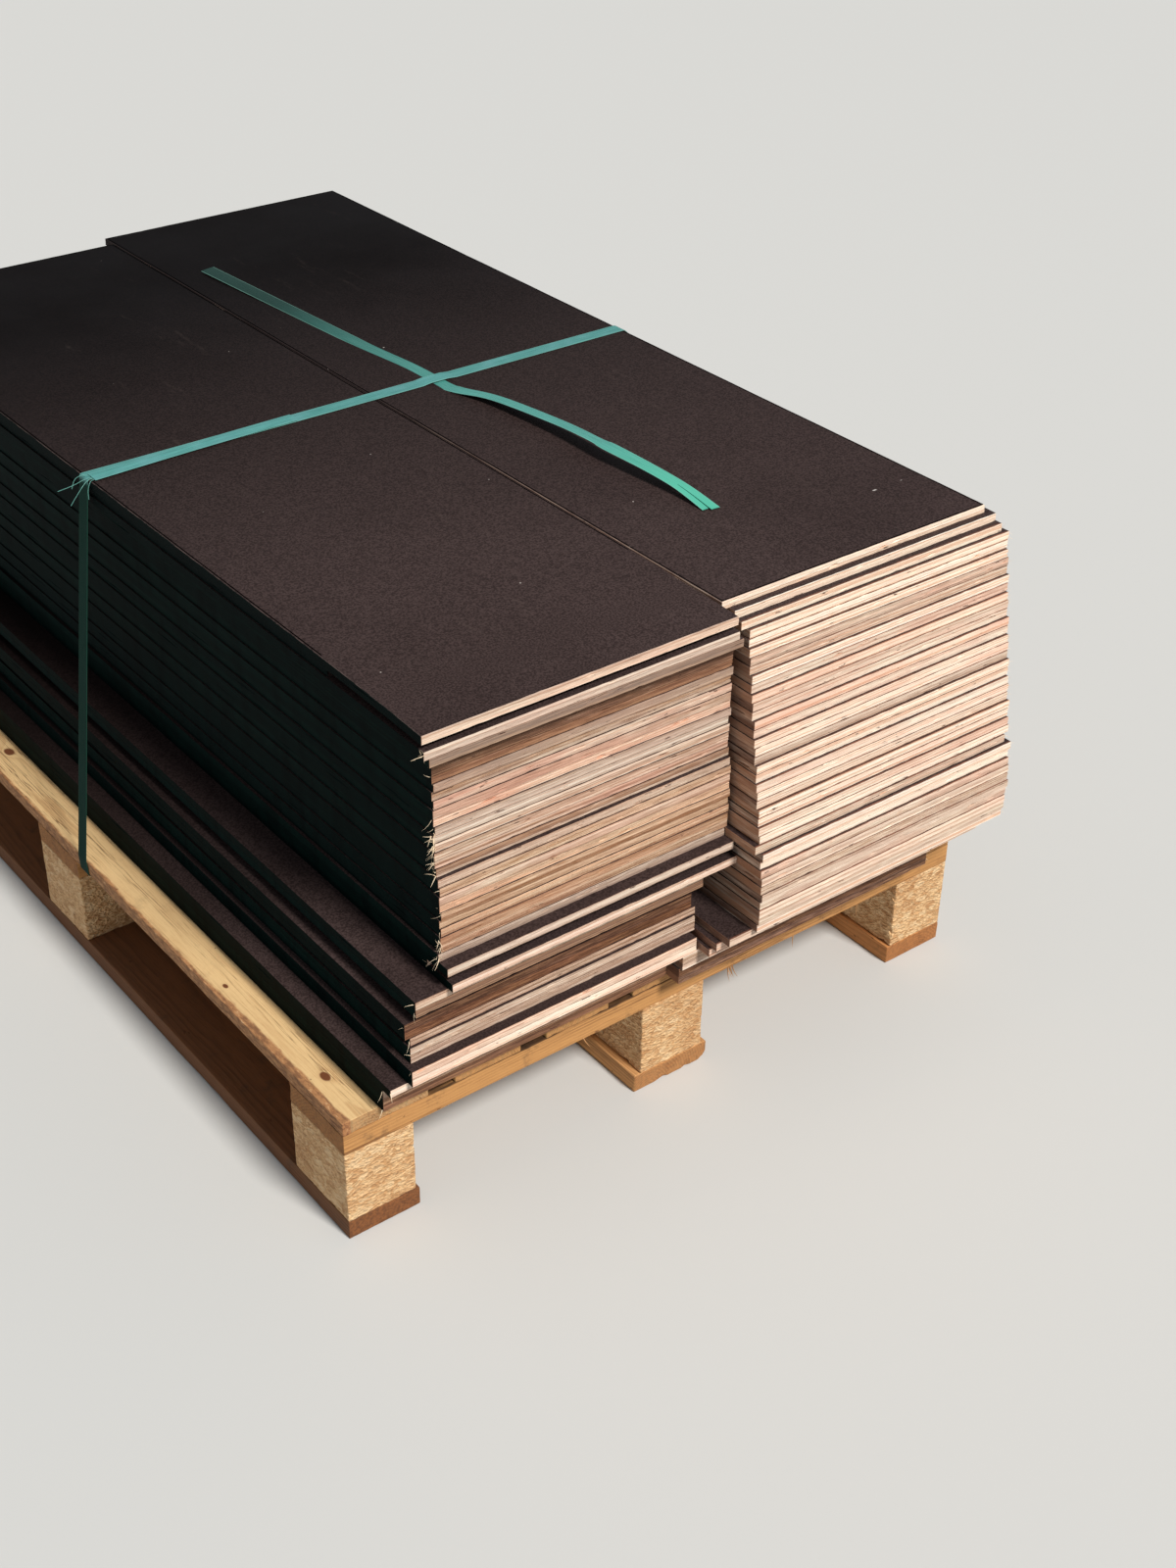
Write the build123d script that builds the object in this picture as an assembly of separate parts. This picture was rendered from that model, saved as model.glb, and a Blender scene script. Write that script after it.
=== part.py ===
from build123d import *
import os

# Stack of film-faced plywood sheets in two columns on a block pallet, with one
# strap still round the load and one cut strap lying on top.
# Millimetres, +Z up, the photographed short end looks toward -Y.
# Plan figures below are taken from the pallet's front left corner and are
# shifted by half the pallet at the very end, so X=0, Y=0 is the pallet's middle.

# pallet
PALLET_WIDTH = 800.0
PALLET_LENGTH = 1200.0
RUNNER_T = 22.0
BLOCK_H = 86.0
STRINGER_T = 24.0
DECK_T = 16.0
OUTER_RUNNER_W = 82.0
MIDDLE_RUNNER_W = 98.0
OUTER_BLOCK_W = 78.0
MIDDLE_BLOCK_W = 82.0
BLOCK_LEN = 98.0
STRINGER_W = 98.0
OUTER_BOARD_W = 96.0
MIDDLE_BOARD_W = 110.0
INNER_BOARD_W = 78.0

# sheets
SHEET_T = 9.0
SHEET_LEN = 1250.0
LEFT_SHEET_W = 341.0
RIGHT_SHEET_W = 352.0
LEFT_COUNT = 45
RIGHT_COUNT = 45
TOP_DROOP = 3.0
SEAM_GAP = 1.0

# straps
STRAP_W = 19.0
STRAP_T = 1.0
STRAP_OFF_MIDDLE = 0.5
STRAP_TO_STRINGER = 11.5
STRAP_SKEW = 0.007
STRAP_CLEAR = 0.5
TAIL_START = 8.0
TAIL_LEN = 226.0
TAIL_OFFSET = 8.0
TAIL_NARROWER = 1.0
# the closed strap steps over the cut one this far right of the column's line
CROSSING = 79.5
STEP_SPARE = 2.5
STEP_RUN = 11.0
STEP_GAP = 0.1

BLOCK_Z = RUNNER_T
STRINGER_Z = BLOCK_Z + BLOCK_H
DECK_Z = STRINGER_Z + STRINGER_T
LOAD_Z = DECK_Z + DECK_T
TOP_Z = LOAD_Z + LEFT_COUNT * SHEET_T

# the load stands a little to the right of the pallet's middle; each column has
# a line of its own that its sheets are told from
LOAD_OFF_X = 51.0
LEFT_X = (PALLET_WIDTH - LEFT_SHEET_W - RIGHT_SHEET_W) / 2 + LOAD_OFF_X
RIGHT_X = LEFT_X + LEFT_SHEET_W
FRONT_Y = (PALLET_LENGTH - SHEET_LEN) / 2

# how each run of sheets lies: first, last, how far right of its column's line,
# how far behind the front line; a sheet that is not listed follows the rule
LEFT_RUNS = [
    (1, 3, -64.0, 17.0),
    (4, 4, -64.5, 2.5),
    (5, 6, -45.5, -6.0),
    (7, 8, -39.5, 5.0),
    (9, 9, -37.5, 8.0),
    (10, 11, -42.5, 8.5),
    (12, 12, -12.5, 27.0),
    (13, 14, -34.5, 1.0),
    (15, 15, 1.0, -7.0),
    (16, 16, -1.5, 30.0),
    (17, 17, -2.5, -5.0),
    (18, 18, -3.5, 8.5),
]
# the uppermost sheets of the left column are as wide as the right-hand ones;
# theirs is the place of the right-hand edge
WIDE_RUNS = [
    (42, 42, 0.5, 1.0),
    (43, 43, -5.0, 1.0),
    (45, 45, -5.5, 3.0),
]
RIGHT_RUNS = [
    (1, 2, -63.5, -2.0),
    (3, 4, -61.5, -4.5),
    (5, 5, -41.5, -21.0),
    (6, 6, -37.5, -27.0),
    (7, 7, -30.5, -38.0),
    (17, 17, 4.0, -41.0),
    (18, 18, -2.5, -36.5),
    (43, 43, 7.0, 13.0),
    (44, 44, 5.0, 21.0),
]
WIDE_FROM = 42
PROUD = (15, 17)
RIGHT_TOP_BACK = 29.0

# the rules for the sheets that aren't listed
WOBBLE = 0.45
LEFT_LOW_LAST = 27
LEFT_LOW_BACK = 8.5
LEFT_BACK = 14.0
RIGHT_FORWARD = 45.5
RIGHT_CLIMB_FROM = 13
RIGHT_CLIMB_BACK = 1.87
RIGHT_CLIMB_OUT = 0.4
RIGHT_CLIMB_START = 1.5

# the short sheet that holds the uppermost left one up, away from its front end
SET_BACK_NUMBER = 44
SET_BACK = 155.0
SET_BACK_LEFT = 14.5


def box_at(x, y, z, dx, dy, dz):
    """A board or sheet from its lowest front left corner."""
    return Pos(x, y, z) * Box(dx, dy, dz, align=(Align.MIN, Align.MIN, Align.MIN))


def listed(runs, k):
    """Corner of sheet k where the runs name it."""
    for first, last, x, y in runs:
        if first <= k <= last:
            return x, y
    return None


def wobble(k, step):
    """The fraction of a millimetre a stacked sheet is off its neighbours."""
    return ((k * step) % 5 - 2) * WOBBLE


def left_corner(k):
    if k == SET_BACK_NUMBER:
        return LEFT_X - SET_BACK_LEFT, FRONT_Y + SET_BACK
    found = listed(WIDE_RUNS, k)
    if found:
        return RIGHT_X + found[0] - RIGHT_SHEET_W, FRONT_Y + found[1]
    found = listed(LEFT_RUNS, k)
    if found:
        return LEFT_X + found[0], FRONT_Y + found[1]
    back = LEFT_BACK
    if k <= LEFT_LOW_LAST:
        back = LEFT_LOW_BACK
    return LEFT_X + wobble(k, 3), FRONT_Y + back + wobble(k, 2)


def right_corner(k):
    if k == RIGHT_COUNT:
        return left_corner(LEFT_COUNT)[0] + RIGHT_SHEET_W + SEAM_GAP, FRONT_Y + RIGHT_TOP_BACK
    found = listed(RIGHT_RUNS, k)
    if found:
        return RIGHT_X + found[0], FRONT_Y + found[1]
    x = RIGHT_X + RIGHT_CLIMB_OUT * (k - RIGHT_CLIMB_FROM) + wobble(k, 2) + RIGHT_CLIMB_START
    y = FRONT_Y - RIGHT_FORWARD + RIGHT_CLIMB_BACK * max(0, k - RIGHT_CLIMB_FROM) + wobble(k, 3)
    return x, y


def sheet(x, y, k, width, length=SHEET_LEN):
    return box_at(x, y, LOAD_Z + (k - 1) * SHEET_T, width, length, SHEET_T)


def left_width(k):
    if k < WIDE_FROM:
        return LEFT_SHEET_W
    return RIGHT_SHEET_W


def left_sheet(k):
    x, y = left_corner(k)
    return sheet(x, y, k, left_width(k))


def right_sheet(k):
    x, y = right_corner(k)
    return sheet(x, y, k, RIGHT_SHEET_W)


def drooping_sheet():
    """The uppermost left sheet; its unsupported front end hangs by a few mm."""
    x, y0 = left_corner(LEFT_COUNT)
    z = LOAD_Z + (LEFT_COUNT - 1) * SHEET_T
    y1 = FRONT_Y + SET_BACK
    y2 = y0 + SHEET_LEN
    t = SHEET_T
    mid = (y0 + y1) / 2
    with BuildPart() as made:
        with BuildSketch(Plane.YZ.offset(x)):
            with BuildLine():
                Line((y1, z), (y2, z))
                Line((y2, z), (y2, z + t))
                Line((y2, z + t), (y1, z + t))
                ThreePointArc((y1, z + t), (mid, z + t - TOP_DROOP / 4), (y0, z + t - TOP_DROOP))
                Line((y0, z + t - TOP_DROOP), (y0, z - TOP_DROOP))
                ThreePointArc((y0, z - TOP_DROOP), (mid, z - TOP_DROOP / 4), (y1, z))
            make_face()
        extrude(amount=RIGHT_SHEET_W)
    return made.part


def taut(points):
    """The points a tight strap bears on, going up the load's right-hand side."""
    kept = []
    for x, z in points:
        while len(kept) > 1:
            (ax, az), (bx, bz) = kept[-2], kept[-1]
            if (bx - ax) * (z - bz) > (bz - az) * (x - bx):
                break
            kept.pop()
        kept.append((x, z))
    return kept


def strap_side(edges, pallet_edge):
    """One side of the strap: pallet edge, then every sheet edge from the lowest up."""
    points = [(pallet_edge + STRAP_CLEAR, DECK_Z), (pallet_edge + STRAP_CLEAR, LOAD_Z)]
    for number, x in enumerate(edges):
        points.append((x + STRAP_CLEAR, LOAD_Z + number * SHEET_T))
        points.append((x + STRAP_CLEAR, LOAD_Z + (number + 1) * SHEET_T))
    return taut(points)


def mitred(path, i):
    """Outer point of a closed strap path at corner i, one strap thickness out."""
    n = len(path)
    px, pz = path[i - 1]
    cx, cz = path[i]
    nx, nz = path[(i + 1) % n]
    d1 = Vector(cx - px, 0, cz - pz).normalized()
    d2 = Vector(nx - cx, 0, nz - cz).normalized()
    n1 = Vector(-d1.Z, 0, d1.X)
    n2 = Vector(-d2.Z, 0, d2.X)
    move = (n1 + n2) * (STRAP_T / (1 + n1.dot(n2)))
    return cx + move.X, cz + move.Z


def strap_y(x, z):
    """The closed strap lies in one leaning plane, clear of the centre stringer."""
    y_top = PALLET_LENGTH / 2 + STRAP_OFF_MIDDLE
    y_deck = (PALLET_LENGTH - STRINGER_W - STRAP_W) / 2 - STRAP_TO_STRINGER
    lean = (y_top - y_deck) / (TOP_Z - DECK_Z)
    return y_top + STRAP_SKEW * (x - PALLET_WIDTH / 2) - lean * (TOP_Z - z)


def strap_wire(path):
    pts = [(x, strap_y(x, z) - STRAP_W / 2, z) for x, z in path]
    return Wire.make_polygon(pts, close=True)


def tight_strap():
    """Closed band round both columns and under the deck boards."""
    lefts = [-left_corner(k)[0] for k in range(1, LEFT_COUNT + 1)]
    rights = [right_corner(k)[0] + RIGHT_SHEET_W for k in range(1, RIGHT_COUNT + 1)]
    left_side = [(-x, z) for x, z in strap_side(lefts, 0)]
    right_side = strap_side(rights, PALLET_WIDTH)
    # over the cut strap on the way: a low step up and down again
    flat = STRAP_W / 2 + STEP_SPARE
    foot = flat + STEP_RUN
    x = RIGHT_X + CROSSING
    over = TOP_Z + STRAP_T + STEP_GAP
    step = [(x - foot, TOP_Z), (x - flat, over), (x + flat, over), (x + foot, TOP_Z)]
    # inner path, clockwise seen from the front
    path = left_side + step + right_side[::-1]
    outer = [mitred(path, i) for i in range(len(path))]
    ring = Face(strap_wire(outer), [strap_wire(path)])
    band = extrude(ring, amount=STRAP_W, dir=(0, 1, 0))
    # welded overlap on the left part of the top, its free end a little out of line
    x_free = left_corner(LEFT_COUNT)[0] + TAIL_START
    x_end = x_free + TAIL_LEN
    z = TOP_Z + STRAP_T
    half = (STRAP_W - TAIL_NARROWER) / 2
    y_end = strap_y(x_end, TOP_Z)
    y_free = strap_y(x_free, TOP_Z) - TAIL_OFFSET
    pts = [
        (x_end, y_end - half, z),
        (x_end, y_end + half, z),
        (x_free, y_free + half, z),
        (x_free, y_free - half, z),
    ]
    tail = extrude(Face(Wire.make_polygon(pts, close=True)), amount=STRAP_T, dir=(0, 0, 1))
    return band + tail


# the cut strap's course: across from the crossing, along from the pallet's
# middle, height of its underside above the sheet
CUT_COURSE = [
    (-35.0, 466.0, 3.0),
    (-23.0, 308.0, 1.5),
    (-11.0, 148.0, 0.0),
    (-1.0, 50.0, 0.0),
    (0.0, -15.0, 0.0),
    (4.0, -44.0, 2.0),
    (18.0, -96.0, 6.0),
    (27.0, -199.0, 12.0),
    (26.0, -284.0, 15.0),
    (32.0, -348.0, 12.0),
    (36.0, -395.0, 7.0),
    (35.0, -443.0, 2.0),
]


def cut_strap():
    """Loose band on the right column, lifted in a low arch at its near end."""
    course = []
    for across, along, height in CUT_COURSE:
        x = RIGHT_X + CROSSING + across
        course.append(Vector(x, PALLET_LENGTH / 2 + along, TOP_Z + height))
    cuts = []
    last = len(course) - 1
    for i, low in enumerate(course):
        along = course[min(last, i + 1)] - course[max(0, i - 1)]
        across = Vector(-along.Y, along.X, 0).normalized() * (STRAP_W / 2)
        high = low + Vector(0, 0, STRAP_T)
        pts = [low - across, low + across, high + across, high - across]
        cuts.append(Wire.make_polygon(pts, close=True))
    return Solid.make_loft(cuts, ruled=True)


def save(name, shapes):
    """One named node in the part's own frame."""
    shift = Vector(-PALLET_WIDTH / 2, -PALLET_LENGTH / 2, 0)
    solids = []
    for shape in shapes:
        for solid in shape.solids():
            solids.append(solid.translate(shift))
    out = solids[0]
    if len(solids) > 1:
        out = Compound(children=solids)
    out.label = name
    export_step(out, os.path.join("parts", name + ".step"))


os.makedirs("parts", exist_ok=True)

# pallet: three runners lengthwise, blocks, three stringers across, deck boards
RUNNERS = [
    ("left", 0.0, OUTER_RUNNER_W),
    ("middle", (PALLET_WIDTH - MIDDLE_RUNNER_W) / 2, MIDDLE_RUNNER_W),
    ("right", PALLET_WIDTH - OUTER_RUNNER_W, OUTER_RUNNER_W),
]
BLOCKS = [
    ("left", 0.0, OUTER_BLOCK_W),
    ("middle", (PALLET_WIDTH - MIDDLE_BLOCK_W) / 2, MIDDLE_BLOCK_W),
    ("right", PALLET_WIDTH - OUTER_BLOCK_W, OUTER_BLOCK_W),
]
ROWS = [
    ("front", 0.0),
    ("centre", (PALLET_LENGTH - BLOCK_LEN) / 2),
    ("back", PALLET_LENGTH - BLOCK_LEN),
]
for side, x, width in RUNNERS:
    save("runner_" + side, [box_at(x, 0, 0, width, PALLET_LENGTH, RUNNER_T)])
for row, y in ROWS:
    for side, x, width in BLOCKS:
        save("block_" + row + "_" + side, [box_at(x, y, BLOCK_Z, width, BLOCK_LEN, BLOCK_H)])
    save("stringer_" + row, [box_at(0, y, STRINGER_Z, PALLET_WIDTH, STRINGER_W, STRINGER_T)])

board_widths = [OUTER_BOARD_W, INNER_BOARD_W, INNER_BOARD_W, MIDDLE_BOARD_W]
board_widths += [INNER_BOARD_W, INNER_BOARD_W, OUTER_BOARD_W]
board_gap = (PALLET_WIDTH - sum(board_widths)) / (len(board_widths) - 1)
x = 0.0
for number, width in enumerate(board_widths, 1):
    save("deck_board_" + str(number), [box_at(x, 0, DECK_Z, width, PALLET_LENGTH, DECK_T)])
    x += width + board_gap

# sheets: neighbours alternate between two nodes
left_odd = [k for k in range(1, SET_BACK_NUMBER, 2) if k not in PROUD]
save("left_sheets_odd", [left_sheet(k) for k in left_odd])
save("left_sheets_even", [left_sheet(k) for k in range(2, SET_BACK_NUMBER, 2)])
save("left_proud_sheets", [left_sheet(k) for k in PROUD])
x, y = left_corner(SET_BACK_NUMBER)
short = sheet(x, y, SET_BACK_NUMBER, LEFT_SHEET_W, SHEET_LEN - SET_BACK)
save("left_set_back_sheet", [short])
save("left_top_sheet", [drooping_sheet()])
save("right_sheets_odd", [right_sheet(k) for k in range(1, RIGHT_COUNT, 2)])
save("right_sheets_even", [right_sheet(k) for k in range(2, RIGHT_COUNT, 2)])
save("right_top_sheet", [right_sheet(RIGHT_COUNT)])

save("tight_strap", [tight_strap()])
save("cut_strap", [cut_strap()])
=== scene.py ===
import math

import bmesh
import bpy
import numpy as np
from mathutils import Matrix, Vector


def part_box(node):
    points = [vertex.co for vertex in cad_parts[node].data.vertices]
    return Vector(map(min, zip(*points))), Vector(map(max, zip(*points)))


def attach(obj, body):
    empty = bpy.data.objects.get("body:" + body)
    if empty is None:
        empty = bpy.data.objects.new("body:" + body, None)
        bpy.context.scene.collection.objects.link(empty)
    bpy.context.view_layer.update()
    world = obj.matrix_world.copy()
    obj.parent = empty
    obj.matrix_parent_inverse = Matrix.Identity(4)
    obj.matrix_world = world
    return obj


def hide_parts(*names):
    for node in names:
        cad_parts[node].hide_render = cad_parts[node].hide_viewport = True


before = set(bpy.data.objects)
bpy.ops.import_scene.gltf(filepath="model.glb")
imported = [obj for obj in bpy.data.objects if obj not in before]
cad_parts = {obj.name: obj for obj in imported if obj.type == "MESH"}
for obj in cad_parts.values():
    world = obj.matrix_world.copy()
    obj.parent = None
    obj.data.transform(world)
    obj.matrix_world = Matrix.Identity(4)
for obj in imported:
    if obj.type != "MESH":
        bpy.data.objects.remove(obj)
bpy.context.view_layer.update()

# Camera, light and floor.
# The camera stands in front of the photographed short end, to its left, about
# 1.5 m up, and the light comes from in front of that end.
scene = bpy.context.scene
scene.view_settings.view_transform = "Standard"

camera_place = (-1.1165, -1.8757, 1.4803)
camera_heading = 38.08
camera_drop = 33.32
camera_roll = 0.86
lens = bpy.data.cameras.new("camera")
lens.sensor_width = 36.0
lens.lens = 48.13
lens.clip_start = 0.05
lens.clip_end = 60.0
camera = bpy.data.objects.new("camera", lens)
scene.collection.objects.link(camera)
scene.camera = camera
camera.matrix_world = (
    Matrix.Translation(camera_place)
    @ Matrix.Rotation(math.radians(-camera_heading), 4, "Z")
    @ Matrix.Rotation(math.radians(90 - camera_drop), 4, "X")
    @ Matrix.Rotation(math.radians(camera_roll), 4, "Z")
)

sun_way = Vector((0.12, -1.0, 1.15))
sun_width = 12
sun_data = bpy.data.lights.new("sun", "SUN")
sun_data.energy = 3.7
sun_data.angle = math.radians(sun_width)
sun_data.color = (1.0, 0.972, 0.935)
sun = bpy.data.objects.new("sun", sun_data)
scene.collection.objects.link(sun)
sun.rotation_euler = sun_way.to_track_quat("Z", "Y").to_euler()

world = bpy.data.worlds.new("sky")
scene.world = world
world.use_nodes = True
sky = world.node_tree.nodes["Background"]
sky.inputs["Color"].default_value = (0.88, 0.93, 1.0, 1)
sky.inputs["Strength"].default_value = 0.31


def fill(node, inputs):
    """Sets a node's sockets, and links those whose value is itself a socket."""
    for key, value in inputs.items():
        socket = node.inputs[key]
        if isinstance(value, bpy.types.NodeSocket):
            node.id_data.links.new(value, socket)
        else:
            socket.default_value = value


def add(tree, kind, inputs=None, **props):
    """A node with its options set and its sockets filled or linked."""
    node = tree.nodes.new(kind)
    for key, value in props.items():
        setattr(node, key, value)
    fill(node, inputs or {})
    return node


def srgb(r, g, b):
    """Colour given as 0 to 255 on a screen, as the linear values Blender uses."""
    out = []
    for c in (r, g, b):
        c = c / 255
        out.append(c / 12.92 if c <= 0.04045 else ((c + 0.055) / 1.055) ** 2.4)
    return (out[0], out[1], out[2], 1.0)


def new_material(name):
    """Empty material; returns it with its tree, its shader and the Object coordinates."""
    material = bpy.data.materials.new(name)
    material.use_nodes = True
    tree = material.node_tree
    tree.nodes.clear()
    shader = add(tree, "ShaderNodeBsdfPrincipled")
    add(tree, "ShaderNodeOutputMaterial", {"Surface": shader.outputs[0]})
    place = add(tree, "ShaderNodeTexCoord").outputs["Object"]
    return material, tree, shader, place


def finish_look(shader, colour, roughness, specular=0.5, height=None, strength=0.0, depth=0.0):
    """Colour, roughness and specular level on the shader's own sockets, and a bump if there is a height."""
    fill(shader, {"Base Color": colour, "Roughness": roughness, "Specular IOR Level": specular})
    if height is not None:
        bump = add(
            shader.id_data, "ShaderNodeBump", {"Height": height, "Strength": strength, "Distance": depth}
        )
        fill(shader, {"Normal": bump.outputs[0]})


def mesh_object(name, points, faces, edges=()):
    """Object with a plain mesh, linked to the scene."""
    mesh = bpy.data.meshes.new(name)
    mesh.from_pydata(points, edges, faces)
    thing = bpy.data.objects.new(name, mesh)
    scene.collection.objects.link(thing)
    return thing


floor_reach = 14.0
floor_drop = 0.0004
floor_material, _, shader, _ = new_material("pale floor")
finish_look(shader, srgb(205, 205, 202), 0.85)
floor_corners = [(x * floor_reach, y * floor_reach, 0) for x, y in ((-1, -1), (1, -1), (1, 1), (-1, 1))]
floor = mesh_object("floor", floor_corners, [(0, 1, 2, 3)])
floor.data.materials.append(floor_material)
floor.location.z = -floor_drop

# Pallet runners.
# Three softwood boards lie lengthwise on the floor. They are rough sawn, nailed
# up into the blocks, the left one darker than the others, and worn at their ends.


def tree_of(*values):
    """The node tree that the first socket among the values is in."""
    return next(value.id_data for value in values if isinstance(value, bpy.types.NodeSocket))


def calc(operation, a, b=0.0, c=0.0, clamp=False):
    """Arithmetic on sockets or numbers."""
    inputs = {0: a, 1: b, 2: c}
    node = add(tree_of(a, b, c), "ShaderNodeMath", inputs, operation=operation, use_clamp=clamp)
    return node.outputs[0]


def times(*factors):
    """The product of sockets or numbers, taken in their order."""
    product = factors[0]
    for factor in factors[1:]:
        product = calc("MULTIPLY", product, factor)
    return product


def centred(value):
    """A value between 0 and 1, moved to lie round 0."""
    return calc("SUBTRACT", value, 0.5)


def vector(operation, a, b=(0, 0, 0)):
    """Arithmetic on vectors."""
    node = add(tree_of(a, b), "ShaderNodeVectorMath", {0: a, 1: b}, operation=operation)
    return node.outputs["Value" if operation == "LENGTH" else "Vector"]


def stretch(at, x, y, z):
    """Coordinates scaled along the axes, so that a small factor draws a pattern out."""
    return vector("MULTIPLY", at, (x, y, z))


def split(at):
    """The three parts of a vector."""
    return add(at.id_data, "ShaderNodeSeparateXYZ", {0: at}).outputs


def combined(x=0.0, y=0.0, z=0.0):
    """A vector from its three parts."""
    return add(tree_of(x, y, z), "ShaderNodeCombineXYZ", {0: x, 1: y, 2: z}).outputs[0]


def ramp(value, low, high, to_low=0.0, to_high=1.0):
    """Smooth step from one value to another."""
    node = add(
        value.id_data, "ShaderNodeMapRange",
        {"Value": value, "From Min": low, "From Max": high, "To Min": to_low, "To Max": to_high},
        interpolation_type="SMOOTHSTEP",
    )
    return node.outputs["Result"]


def noise(at, scale, detail=2.0, rough=0.5):
    """Cloudy noise between 0 and 1."""
    node = add(
        at.id_data, "ShaderNodeTexNoise",
        {"Vector": at, "Scale": scale, "Detail": detail, "Roughness": rough},
    )
    return node.outputs[0]


def tint(share, below, above, blend="MIX"):
    """One colour laid over another by a share from 0 to 1."""
    node = add(
        tree_of(share, below, above), "ShaderNodeMix", {0: share, 6: below, 7: above},
        data_type="RGBA", blend_type=blend,
    )
    return node.outputs[2]


def attribute(tree, name, output="Fac"):
    """A value or vector that the mesh carries at its points."""
    return add(tree, "ShaderNodeAttribute", attribute_name=name).outputs[output]


def stops(low, high, step, edge=0.0015):
    """Places along one side of a timber, closer together at its ends."""
    inner = np.linspace(low + 3 * edge, high - 3 * edge, max(2, round((high - low) / step)))
    return [low, low + 0.35 * edge, low + 1.3 * edge, *inner, high - 1.3 * edge, high - 0.35 * edge, high]


def lattice(sides):
    """Closed box of small squares through the stops on its three sides, as points and outward faces."""
    at = {}
    points = []
    faces = []

    def point(place):
        if place not in at:
            at[place] = len(points)
            points.append(tuple(side[i] for side, i in zip(sides, place)))
        return at[place]

    counts = [len(side) - 1 for side in sides]
    low_turn = ((0, 0), (0, 1), (1, 1), (1, 0))
    high_turn = ((0, 0), (1, 0), (1, 1), (0, 1))
    for axis in (2, 1, 0):
        u, v = (axis + 1) % 3, (axis + 2) % 3
        for i in range(counts[u]):
            for j in range(counts[v]):
                for end, turn in ((0, low_turn), (counts[axis], high_turn)):
                    square = []
                    for a, b in turn:
                        place = [end, end, end]
                        place[u] = i + a
                        place[v] = j + b
                        square.append(point(tuple(place)))
                    faces.append(square)
    return points, faces


def geometry_tree(name, inputs):
    """Empty geometry tree with named inputs; returns it with their sockets and its end."""
    tree = bpy.data.node_groups.new(name, "GeometryNodeTree")
    tree.interface.new_socket("Geometry", in_out="INPUT", socket_type="NodeSocketGeometry")
    tree.interface.new_socket("Geometry", in_out="OUTPUT", socket_type="NodeSocketGeometry")
    for label, kind in inputs.items():
        tree.interface.new_socket(label, in_out="INPUT", socket_type="NodeSocket" + kind)
    start = tree.nodes.new("NodeGroupInput")
    end = tree.nodes.new("NodeGroupOutput")
    return tree, start.outputs, end


def coated(geometry, finish, where=True):
    """The geometry with a material on all its faces, or on some."""
    inputs = {"Geometry": geometry, "Selection": where, "Material": finish}
    return add(geometry.id_data, "GeometryNodeSetMaterial", inputs).outputs[0]


def store(mesh, label, kind, data):
    """Keeps a value or a vector at each point of a mesh."""
    layer = mesh.attributes.new(label, kind, "POINT")
    key = "vector" if kind == "FLOAT_VECTOR" else "value"
    layer.data.foreach_set(key, np.asarray(data, np.int32 if kind == "INT" else np.float32).ravel())


def grow(name, points, faces, tree, values, attributes=None, edges=()):
    """Runs a geometry tree over a mesh and returns the plain result."""
    base = mesh_object(name + " base", points, faces, edges)
    for label, (kind, data) in (attributes or {}).items():
        store(base.data, label, kind, data)
    modifier = base.modifiers.new("shape", "NODES")
    modifier.node_group = tree
    for item in tree.interface.items_tree:
        if item.in_out == "INPUT" and item.name in values:
            modifier[item.identifier] = values[item.name]
    bpy.context.view_layer.update()
    evaluated = base.evaluated_get(bpy.context.evaluated_depsgraph_get())
    result = bpy.data.meshes.new_from_object(evaluated)
    base.modifiers.remove(modifier)
    bpy.data.objects.remove(base)
    result.name = name
    piece = bpy.data.objects.new(name, result)
    scene.collection.objects.link(piece)
    return piece


# the sawn timber tree: rounds and wears the arrises unevenly and roughens the faces
sawn, given, end = geometry_tree(
    "sawn timber",
    {
        "Middle": "Vector", "Half size": "Vector", "Grain": "Vector", "Arris": "Float",
        "Chips": "Float", "Roughness": "Float", "Seed": "Float", "Finish": "Material",
    },
)
mean_relief = 1.15
highest_rise = 0.0002
here = add(sawn, "GeometryNodeInputPosition").outputs[0]
shifted = vector("ADD", here, combined(given["Seed"], given["Seed"]))
grain_space = vector("MULTIPLY", shifted, given["Grain"])
coarse = noise(grain_space, 26.0, 3.0, 0.6)
fine = noise(grain_space, 160.0, 3.0, 0.65)
torn = ramp(noise(grain_space, 55.0, 2.0, 0.6), 0.55, 0.78)
radius = calc("MULTIPLY_ADD", torn, given["Chips"], given["Arris"])
from_middle = vector("SUBTRACT", here, given["Middle"])
core = vector("SUBTRACT", given["Half size"], combined(radius, radius, radius))
nearest = vector("MAXIMUM", vector("MINIMUM", from_middle, core), stretch(core, -1, -1, -1))
outward = vector("NORMALIZE", vector("SUBTRACT", from_middle, nearest))
relief = calc("SUBTRACT", calc("ADD", coarse, fine), mean_relief)
depth = calc("MULTIPLY_ADD", relief, given["Roughness"], radius)
depth = calc("MINIMUM", depth, calc("ADD", radius, highest_rise))
moved = vector("ADD", nearest, vector("MULTIPLY", outward, combined(depth, depth, depth)))
moved = vector("ADD", given["Middle"], moved)
shaped = add(sawn, "GeometryNodeSetPosition", {"Geometry": given["Geometry"], "Position": moved}).outputs[0]
faceted = add(sawn, "GeometryNodeSetShadeSmooth", {0: shaped, "Shade Smooth": False}).outputs[0]
fill(end, {"Geometry": coated(faceted, given["Finish"])})


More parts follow.
